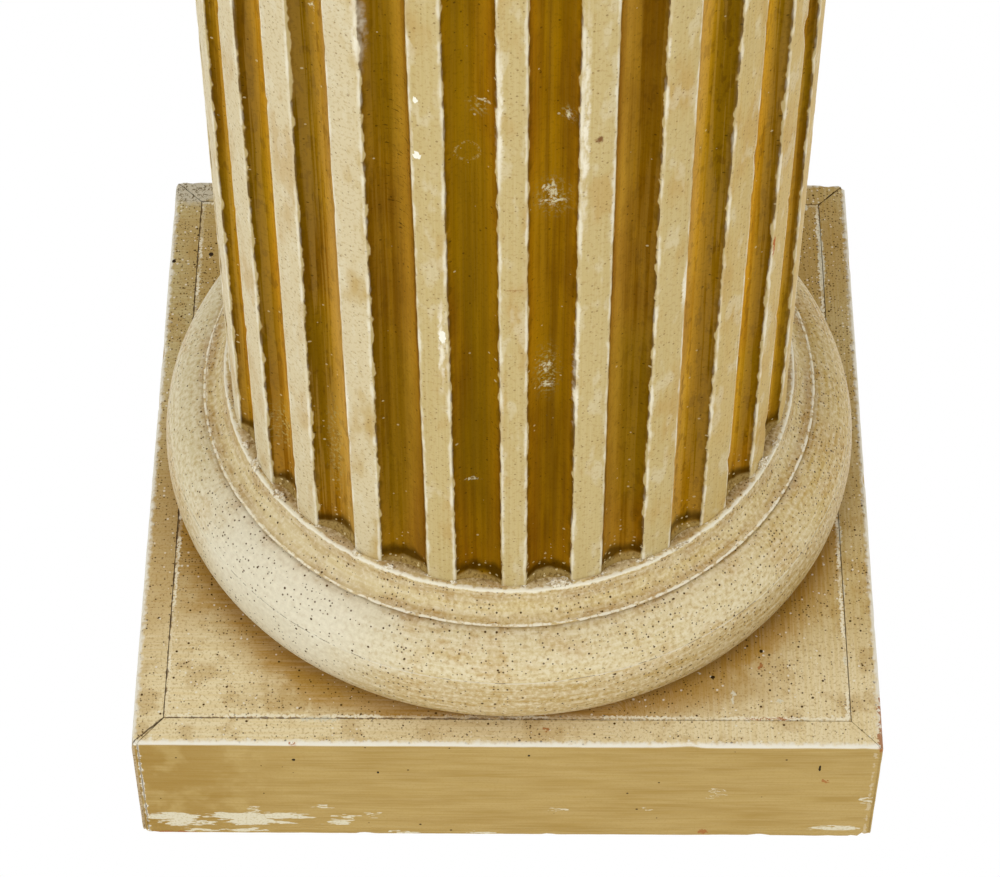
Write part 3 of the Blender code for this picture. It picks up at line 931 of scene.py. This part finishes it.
def paintBase(name="basePaint", neck=False):
    look = basePaintLook
    flySpecks, brushMarks = solidEffects if neck else flatEffects
    kind = "3D" if neck else "2D"
    material, place = newPaint(name)
    across, along, level = put("SeparateXYZ", {0: place}).outputs
    turn = calc("ARCTAN2", across, times(along, -1.0))
    flat = place
    if not neck:
        run = put("Attribute", attribute_name="profileRun").outputs["Fac"]
        flat = put("CombineXYZ", {0: times(turn, look["unrollRadius"]), 1: run}).outputs[0]
    sand = grain(flat, 430, 3, 0.62, kind=kind)
    mottle = grain(flat, 36, 3, 0.6, kind=kind)
    edges = grain(flat, 240, 2.5, 0.65, kind=kind)  # for ragged outlines
    waves = grain(flat, 110, 2.5, 0.62, kind=kind)
    # the left a cooler cream, the right front warmer and darker: partly a difference in the paint, partly
    # painted shade on the side away from the light
    side = plus(across, times(less(mottle, 0.5), 0.10))
    colour = blendColour(fade(side, -0.13, 0.02), look["cool"], look["cream"])
    colour = blendColour(times(fade(side, 0.06, 0.17), fade(along, -0.13, -0.06)), colour, look["warm"])
    # painted highlight: the torus's front left painted paler and cooler, where the light falls on it
    drifted = roughened(place, less(mottle, 0.5), (0.05, 0.05, 0.0))
    pale = patches(drifted, look["paleFront"], 0.5)
    colour = blendColour(times(pale, 0.58), colour, look["paintedHighlight"])
    paint = {"colour": colour, "rough": blendValue(mottle, 0.40, 0.62), "rise": times(sand, 0.00006)}
    dirty = fade(mottle, 0.50, 0.66)
    coat(paint, times(dirty, less(1.0, pale)), look["stain"], strength=0.55)

    if neck:
        annulet = shaftLook["radius"] + neckLook["annulet"]
        hollows = [(annulet, neckLow.z + 0.011, 0.001, 0.007, 0.55),
                   (annulet + 0.012, neckHigh.z - 0.009, 0.001, 0.006, 0.55)]
        lines = [(annulet, neckLow.z + 0.008, 0.0004, 0.0011),
                 (annulet + 0.014, neckHigh.z - 0.007, 0.0004, 0.0012)]
    else:
        brimLevel = ledgeLevel - baseLook["cavettoHeight"]
        cove = fade(level, brimLevel - 0.0012, brimLevel + 0.0004)
        coat(paint, cove, look["cove"], strength=0.75)
        under = fade(plus(level, times(less(mottle, 0.5), 0.010)), seamLevel + 0.0030, seamLevel - 0.0060)
        coat(paint, times(under, less(1.0, pale)), look["underSeam"], strength=0.88)
        lowest = fade(plus(level, times(mottle, 0.010)), plinthTop + 0.018, plinthTop + 0.004)
        coat(paint, lowest, look["lowest"], strength=0.6)
        hollows = [(baseLook["crownRadius"], brimLevel - 0.0018, 0.0006, 0.0070, 0.60),
                   (baseLook["ledgeRadius"] + 0.001, brimLevel + 0.009, 0.0010, 0.0060, 0.50),
                   (baseLook["ledgeRadius"] - 0.0045, ledgeLevel, 0.0015, 0.0045, 0.60)]
        lines = [(baseLook["brimRadius"], brimLevel, 0.0003, 0.0009),
                 (baseLook["ledgeRadius"] - 0.0002, ledgeLevel, 0.0008, 0.0019)]
    cloudy = blendValue(fade(mottle, 0.38, 0.58), 0.45, 1.0)
    for radius, height, inner, outer, strength in hollows:
        pooled = ring(place, waves, radius, height, inner, outer, 0.0100)
        coat(paint, times(pooled, cloudy), look["glaze"], 0.5, strength=strength)

    # scratches and brush marks that run round the turned work, then fine wear and grime
    turned = use(brushMarks, {"Vector": flat, "Grain": (40, 40, 420) if neck else (24, 430, 1)})
    coat(paint, turned, look["streak"], strength=0.26)
    worn = fade(sand, 0.50, 0.66)
    coat(paint, worn, look["rubbed"], strength=0.30)
    mottled = fade(sand, 0.48, 0.32)
    coat(paint, times(mottled, blendValue(pale, 0.40, 0.12)), look["grain"])

    crowd = plus(times(fade(mottle, 0.36, 0.60), 0.30), 0.04)
    crowd = plus(crowd, times(fade(side, 0.03, 0.15), 0.14))
    small = speckle(flySpecks, flat, 500, crowd, 0.22)
    large = speckle(flySpecks, flat, 170, 0.34, 0.088)
    coat(paint, calc("MAXIMUM", times(small, 0.85), large), specks)

    for radius, height, inner, outer in lines:
        edge = ring(place, edges, radius, height, inner, outer, 0.0034)
        coat(paint, edge, look["line"], 0.7, strength=0.92)

    if not neck:
        fromSeam = less(level, seamLevel)
        seam = band(waves, fromSeam, 0.0001, 0.0005, 0.0010)
        coat(paint, seam, look["line"], 0.7, strength=0.55)
        hair = times(band(waves, fromSeam, 0.0001, 0.0003, 0.0003), fade(waves, 0.54, 0.60))
        coat(paint, hair, look["hair"], strength=0.7)
        # on the ledge inside the flutes: grey dust, and brown dirt against the wall
        outward = move("LENGTH", move("MULTIPLY", place, (1, 1, 0)))
        dust = times(fade(plus(outward, times(mottle, 0.002)), 0.1366, 0.1340),
                     fade(level, ledgeLevel - 0.001, ledgeLevel))
        coat(paint, dust, blendColour(worn, *look["dust"]), 0.9, strength=0.80)
        coat(paint, times(mottled, dust), look["ledgeDirt"], 0.9, strength=0.6)
    finishPaint(paint)
    return material


shaftPaintLook = {
    "fillet": shade(185, 165, 112), "filletWarm": shade(189, 159, 90), "filletCool": shade(202, 188, 152),
    "filletEdge": shade(226, 220, 198),
    "goldDark": shade(152, 100, 0), "gold": shade(200, 145, 2), "goldBright": shade(216, 178, 92),
    "oliveGold": shade(180, 138, 2), "overlap": shade(186, 168, 118), "olive": shade(98, 70, 0),
    "dirt": shade(62, 37, 0), "grime": shade(112, 74, 12), "streak": shade(208, 166, 88),
    "dust": shade(162, 138, 82), "dustGrain": shade(104, 74, 34), "spatter": shade(220, 204, 156),
    "powder": shade(206, 190, 120), "scuffed": shade(236, 228, 190), "ringDust": shade(206, 180, 110),
    "filletStroke": shade(208, 194, 152), "filletStain": shade(176, 141, 76),
    "filletRub": shade(212, 204, 176), "filletGrain": shade(158, 126, 68), "filletSpeck": shade(112, 82, 36),
    "wornGesso": shade(232, 226, 206), "chipGesso": shade(234, 231, 214), "nailHole": shade(104, 56, 24),
    "bareWood": shade(168, 84, 34), "crackLine": shade(150, 110, 60), "goldTint": shade(255, 226, 140),
    "haze": [  # dusty halos: angle, height, half width and half height
        (7.8, 0.4160, 0.0072, 0.0100), (7.2, 0.3030, 0.0050, 0.0150), (-52.8, 0.1990, 0.0060, 0.0140),
        (-5.5, 0.4700, 0.0040, 0.0040), (10.4, 0.4660, 0.0026, 0.0040), (-37.0, 0.2150, 0.0040, 0.0300)],
    "chips": [  # angle from the front in degrees, height, half width and half height
        (-15.9, 0.4421, 0.0017, 0.0022), (-16.0, 0.4743, 0.0011, 0.0014), (-12.0, 0.3300, 0.0010, 0.0040)],
    "worn": [
        (12.9, 0.4600, 0.0014, 0.0500), (12.4, 0.3000, 0.0010, 0.0300), (-26.2, 0.5050, 0.0020, 0.0180),
        (-12.2, 0.3250, 0.0012, 0.0240), (50.8, 0.3840, 0.0014, 0.0160), (-1.7, 0.4700, 0.0012, 0.0300),
        (33.4, 0.3400, 0.0010, 0.0120), (-31.8, 0.2600, 0.0010, 0.0120)],
    "scuffs": [
        (7.8, 0.4133, 0.0052, 0.0012), (7.9, 0.4170, 0.0011, 0.0078), (6.6, 0.4210, 0.0022, 0.0018),
        (7.1, 0.3050, 0.0022, 0.0036), (7.4, 0.2930, 0.0028, 0.0020), (10.5, 0.4651, 0.0012, 0.0022),
        (-4.6, 0.4740, 0.0026, 0.0010), (-37.0, 0.5000, 0.0012, 0.0022), (-7.0, 0.2250, 0.0030, 0.0008)],
    "scratches": [(-19.8, 0.434, 0.0080, 0.0560)],
    "nail": [(15.4, 0.4522, 0.0014, 0.0015)],
    "bare": [(58.6, 0.3183, 0.0008, 0.0062)],
    "crack": [(1.1, 0.3640, 0.0042, 0.0003)],
    "ringMark": (-7.5, 0.4428, 0.0052),  # angle, height and radius of a dried ring
}


def unrolled(degrees, level):  # a place on the shaft as angle times radius, and height
    return (math.radians(degrees) * shaftLook["radius"], level, 0.0)


def shaftMarks(marks):
    return [(unrolled(degrees, height), (wide, tall, 1)) for degrees, height, wide, tall in marks]


def paintShaft():
    look = shaftPaintLook
    flySpecks, brushMarks = flatEffects
    material, place = newPaint("shaftPaint")
    across, along, level = put("SeparateXYZ", {0: place}).outputs
    gap = put("Attribute", attribute_name="arrisGap").outputs["Fac"]
    turn = calc("ARCTAN2", across, times(along, -1.0))
    flat = put("CombineXYZ", {0: times(turn, shaftLook["radius"]), 1: level}).outputs[0]
    pitch = math.radians(360 / shaftLook["flutes"])
    count = calc("DIVIDE", less(turn, math.radians(shaftLook["phase"])), pitch)
    fluteNumber = calc("FLOOR", count)
    own = put("TexWhiteNoise", {"W": fluteNumber}, noise_dimensions="1D").outputs["Value"]

    # flutes: bronze gold brushed on up and down
    fineStrokes = use(brushMarks, {"Vector": flat, "Grain": (1100, 9, 1)})
    broadStrokes = use(brushMarks, {"Vector": flat, "Grain": (260, 5, 1)})
    cloud = grain(move("MULTIPLY", flat, (1, 0.4, 1)), 45, 3, 0.6, kind="2D")
    sand = grain(flat, 560, 3, 0.62, kind="2D")
    edges = grain(move("MULTIPLY", flat, (1, 0.35, 1)), 250, 2.5, 0.65, kind="2D")  # for ragged outlines
    waves = grain(move("MULTIPLY", flat, (1, 0.4, 1)), 110, 2.5, 0.6, kind="2D")
    tone = plus(times(broadStrokes, 0.26), times(cloud, 0.60))
    tone = plus(tone, times(less(own, 0.5), 0.22))
    gold = blendColour(fade(tone, 0.15, 0.75), look["goldDark"], look["gold"])
    hue = fade(grain(move("MULTIPLY", flat, (1, 0.3, 1)), 24, 1, kind="2D"), 0.40, 0.62)
    gold = blendColour(times(hue, 0.5), gold, look["oliveGold"])
    gold = blendColour(times(fineStrokes, 0.08), gold, look["goldBright"])
    # round the sides the wall that looks inwards is painted bright, a painted reflection of the side lights,
    # and the other wall painted dark, a painted shade
    aside = fade(calc("ABSOLUTE", turn), 0.18, 0.62)
    within = less(calc("FRACT", count), 0.5)
    outer = times(within, calc("SIGN", turn))
    bright = times(fade(outer, 0.06, -0.26), aside)
    gold = blendColour(times(bright, plus(cloud, 0.30)), gold, look["goldBright"])
    dark = times(fade(outer, 0.02, 0.30), aside)
    gold = blendColour(times(dark, 0.28), gold, look["olive"])
    grimy = times(fade(edges, 0.54, 0.66), times(aside, 0.45))
    gold = blendColour(grimy, gold, look["grime"])
    # pale tan streaks on the side flutes: dry brushing, and partly a painted sheen that pales the flutes
    # towards the sides
    streaky = times(fade(broadStrokes, 0.36, 0.64), times(aside, 0.32))
    gold = blendColour(times(streaky, aside), gold, look["streak"])
    paint = {"colour": gold, "rough": blendValue(broadStrokes, 0.30, 0.44),
             "rise": times(fineStrokes, 0.00003)}
    fromFoot = less(level, ledgeLevel)
    # painted shade: the flutes that face the front are painted darker towards the foot
    lowDown = times(fade(fromFoot, 0.30, 0.06), less(1.0, aside))
    coat(paint, lowDown, look["olive"], strength=0.30)
    coat(paint, band(edges, gap, 0.0006, 0.0036, 0.0056), look["olive"], 0.6, strength=0.60)
    coat(paint, fade(sand, 0.55, 0.68), look["olive"], 0.6, strength=0.20)
    # a dark band along each flute's foot
    footDarkBand = band(waves, less(fromFoot, 0.0066), 0.0006, 0.0070, 0.0120)
    coat(paint, footDarkBand, look["dirt"], 0.7, strength=0.76)
    footDust = fade(plus(fromFoot, times(less(cloud, 0.5), 0.010)), 0.0052, 0.0026)
    coat(paint, footDust, look["dust"], 0.9, strength=0.85)
    dustGrain = fade(sand, 0.50, 0.62)
    coat(paint, times(footDust, dustGrain), look["dustGrain"], strength=0.6)
    nearFoot = times(fade(fromFoot, 0.030, 0.008), 0.30)
    coat(paint, speckle(flySpecks, flat, 340, plus(nearFoot, 0.02), 0.18), look["spatter"], 0.7, strength=0.8)
    scratched = patches(flat, shaftMarks(look["scratches"]), 0.25)
    dashed = move("MULTIPLY", flat, (180, 760, 1))
    dashes = use(grime, {"Vector": dashed, "Scale": 1, "From": 0.63, "To": 0.70})
    coat(paint, times(scratched, dashes), look["dirt"], 0.6, strength=0.75)
    shaken = shaking(flat, (420, 340, 1))
    ragged = roughened(flat, shaken, (0.0052, 0.0052, 0.0))
    powder = times(patches(ragged, shaftMarks(look["haze"]), 0.7), fade(sand, 0.48, 0.68))
    coat(paint, powder, look["powder"], 0.7, strength=0.75)
    scuffs = times(patches(ragged, shaftMarks(look["scuffs"]), 0.35), fade(sand, 0.36, 0.56))
    coat(paint, scuffs, look["scuffed"], 0.7, strength=0.95)
    degrees, height, ringRadius = look["ringMark"]
    fromRing = move("LENGTH", move("SUBTRACT", flat, unrolled(degrees, height)))
    halo = band(sand, less(fromRing, ringRadius), 0.0004, 0.0013, 0.0022)
    coat(paint, times(halo, dustGrain), look["ringDust"], 0.6, strength=0.8)

    # cream on the fillets, lapped over the arris with a ragged edge
    lap = plus(times(waves, 0.0024), times(edges, 0.0050))
    lapMask = fade(less(gap, lap), -0.0023, -0.0032)
    coat(paint, lapMask, look["overlap"], 0.6, strength=0.92)
    onFillet = fade(gap, 0.0005, 0.0001)
    # the fillets' cream is painted darker than the same cream on the base: painted shade on the upright faces
    drift = plus(across, times(less(cloud, 0.5), 0.08))
    cream = blendColour(fade(drift, -0.068, -0.044), look["filletCool"], look["fillet"])
    cream = blendColour(fade(drift, 0.05, 0.14), cream, look["filletWarm"])
    cream = blendColour(times(fineStrokes, 0.22), cream, look["filletStroke"])
    coat(paint, onFillet, cream, 0.55)
    coat(paint, times(fade(cloud, 0.50, 0.68), onFillet), look["filletStain"], strength=0.45)
    coat(paint, times(fade(waves, 0.54, 0.68), onFillet), look["filletRub"], strength=0.34)
    coat(paint, times(fade(sand, 0.52, 0.68), onFillet), look["filletGrain"], strength=0.35)
    dots = speckle(flySpecks, flat, 400, blendValue(onFillet, 0.06, 0.26), 0.18)
    coat(paint, dots, blendColour(onFillet, look["dirt"], look["filletSpeck"]), strength=0.6)
    edgeWear = times(band(edges, gap, 0.0, 0.0015, 0.0024),
                    blendValue(fade(waves, 0.40, 0.60), 0.15, 1.0))
    coat(paint, edgeWear, look["filletEdge"], 0.7, strength=0.75)
    onArris = roughened(flat, shaken, (0.0026, 0.0030, 0.0))
    powdery = times(patches(onArris, shaftMarks(look["worn"]), 0.7), fade(edges, 0.30, 0.62))
    coat(paint, powdery, look["wornGesso"], 0.8, strength=0.8)
    coat(paint, patches(onArris, shaftMarks(look["chips"])), look["chipGesso"], 0.8)
    coat(paint, patches(onArris, shaftMarks(look["nail"]), 0.5), look["nailHole"], 0.7, strength=0.85)
    coat(paint, patches(onArris, shaftMarks(look["bare"]), 0.3), look["bareWood"], 0.7, strength=0.9)
    coat(paint, patches(onArris, shaftMarks(look["crack"]), 0.3), look["crackLine"], strength=0.7)

    gilded = less(1.0, calc("MAXIMUM", calc("MAXIMUM", onFillet, lapMask), footDust))
    paint["metal"] = times(gilded, blendValue(bright, 0.75, 0.40))
    finishPaint(paint, specular=0.06, tint=look["goldTint"])
    return material


gessoPaintLook = {"grain": (shade(186, 164, 116), shade(236, 230, 210)), "dirt": shade(120, 92, 48)}


def paintGesso():
    look = gessoPaintLook
    material, place = newPaint("bareGesso")
    rough = grain(place, 900, 3, 0.6)
    paint = {"colour": blendColour(fade(rough, 0.35, 0.60), *look["grain"]),
             "rough": blendValue(rough, 0.7, 0.9), "rise": times(rough, 0.0002)}
    coat(paint, fade(grain(place, 420, 2), 0.54, 0.64), look["dirt"], strength=0.5)
    finishPaint(paint)
    return material


# Stage, light and camera

studioLook = {
    "worldLevel": 0.50, "frontGloss": 0.24, "sideGloss": 1.50, "upGloss": 0.8, "floorGlow": 0.50,
    "lights": [  # name, place, aim, size and power
        ("softboxLeft", (-1.2, -1.6, 2.2), (0, 0, 0.3), 1.4, 27),
        ("softboxRight", (1.5, -1.3, 2.1), (0, 0, 0.3), 1.4, 14),
        ("softboxTop", (0.0, 0.2, 3.0), (0, 0, 0.2), 1.8, 18)],
}


def makeWorld():
    world = bpy.data.worlds.new("paleStudio")
    bpy.context.scene.world = world
    world.use_nodes = True
    tree = openTree(world.node_tree)
    way = tree.nodes.new("ShaderNodeTexCoord").outputs["Generated"]
    forward, upward = put("SeparateXYZ", {0: way}).outputs[1:]
    ahead = fade(forward, -0.50, 0.30)
    low = blendValue(ahead, studioLook["frontGloss"], studioLook["sideGloss"])
    gloss = blendValue(fade(upward, -0.35, 0.05), low, studioLook["upGloss"])
    path = tree.nodes.new("ShaderNodeLightPath")
    strength = blendValue(path.outputs["Is Glossy Ray"], studioLook["worldLevel"], gloss)
    strength = blendValue(path.outputs["Is Camera Ray"], strength, 1.0)
    tree.links.new(strength, tree.nodes["Background"].inputs["Strength"])
    tree.nodes["Background"].inputs["Color"].default_value = (1, 1, 1, 1)


def makeStage():
    floor = startPiece("floor", bpy.ops.mesh.primitive_plane_add, size=9, location=(0, 0, -0.0004))
    material, place = newPaint("paleFloor")
    tree = material.node_tree
    tint = blendColour(grain(place, 3, 2), (0.92, 0.92, 0.91, 1), (0.94, 0.94, 0.93, 1))
    shader = tree.nodes["Principled BSDF"]
    tree.links.new(tint, shader.inputs["Base Color"])
    shader.inputs["Roughness"].default_value = 0.9
    shader.inputs["Emission Color"].default_value = (1, 1, 1, 1)
    shader.inputs["Emission Strength"].default_value = studioLook["floorGlow"]
    # seen straight on, the floor is as white as the wall behind it
    path = tree.nodes.new("ShaderNodeLightPath")
    plain = put("Emission", {"Color": (1, 1, 1, 1), "Strength": 1.0})
    either = put("MixShader", {0: path.outputs["Is Camera Ray"], 1: shader.outputs[0], 2: plain.outputs[0]})
    tree.links.new(either.outputs[0], tree.nodes["Material Output"].inputs["Surface"])
    floor.data.materials.append(material)
    floor.visible_glossy = False  # gloss sees the studio's sides in the floor's place
    for name, place, aim, size, power in studioLook["lights"]:
        deselectAll()
        bpy.ops.object.light_add(type="AREA", location=place)
        light = bpy.context.object
        light.name = name
        light.data.size = size
        light.data.energy = power
        light.rotation_mode = "QUATERNION"
        light.rotation_quaternion = (Vector(aim) - Vector(place)).to_track_quat("-Z", "Y")
    bpy.context.scene.view_settings.view_transform = "Standard"


cameraLook = {"place": (0.00146, -1.12193, 1.53373), "tilt": 37.8114, "turn": 0.2995, "roll": 0.0574,
              "lens": 131.6}


def makeCamera():
    look = cameraLook
    deselectAll()
    bpy.ops.object.camera_add(location=look["place"])
    camera = bpy.context.object
    camera.name = "photoCamera"
    camera.rotation_mode = "QUATERNION"
    aim = Euler((math.radians(look["tilt"]), 0, math.radians(look["turn"]))).to_quaternion()
    camera.rotation_quaternion = aim @ Quaternion((0, 0, 1), math.radians(look["roll"]))
    camera.data.lens = look["lens"]
    camera.data.sensor_width = 36
    bpy.context.scene.camera = camera


# Putting it together

makeCamera()
makeWorld()
makeStage()
print("camera, light and floor in place")


def dress(piece, material, slot, *nodes):
    piece.data.materials.clear()
    piece.data.materials.append(material)
    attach(piece, "root")
    if nodes:
        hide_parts(*nodes)


plinthMaterial = paintPlinth("plinthGlaze")
frontMaterial = paintPlinth("plinthGlazeFront", front=True)
baseMaterial = paintBase()
neckMaterial = paintBase("neckPaint", neck=True)
for quarter, side in enumerate(("Front", "Right", "Back", "Left")):
    glaze = plinthMaterial if quarter else frontMaterial
    dress(makePlinthBoard(side, quarter), glaze, "plinth_glaze", "plinth_board_" + side.lower())
dress(makePlinthPanel(), plinthMaterial, "plinth_glaze", "plinth_panel")
print("plinth made")

lowerLayer, upperLayer = makeBase()
dress(lowerLayer, baseMaterial, "base_paint", "base_lower_layer")
dress(upperLayer, baseMaterial, "base_paint", "base_upper_layer")
dress(makeBrokenGesso(), paintGesso(), "base_paint")
print("base made")

dress(makeShaft(), paintShaft(), "shaft_gilding", "shaft")
print("shaft made")

dress(makeNeck(), neckMaterial, "base_paint", "neck_moulding")
dress(makeTopBoard(), neckMaterial, "base_paint", "top_board")
print("neck and top made")

deselectAll()
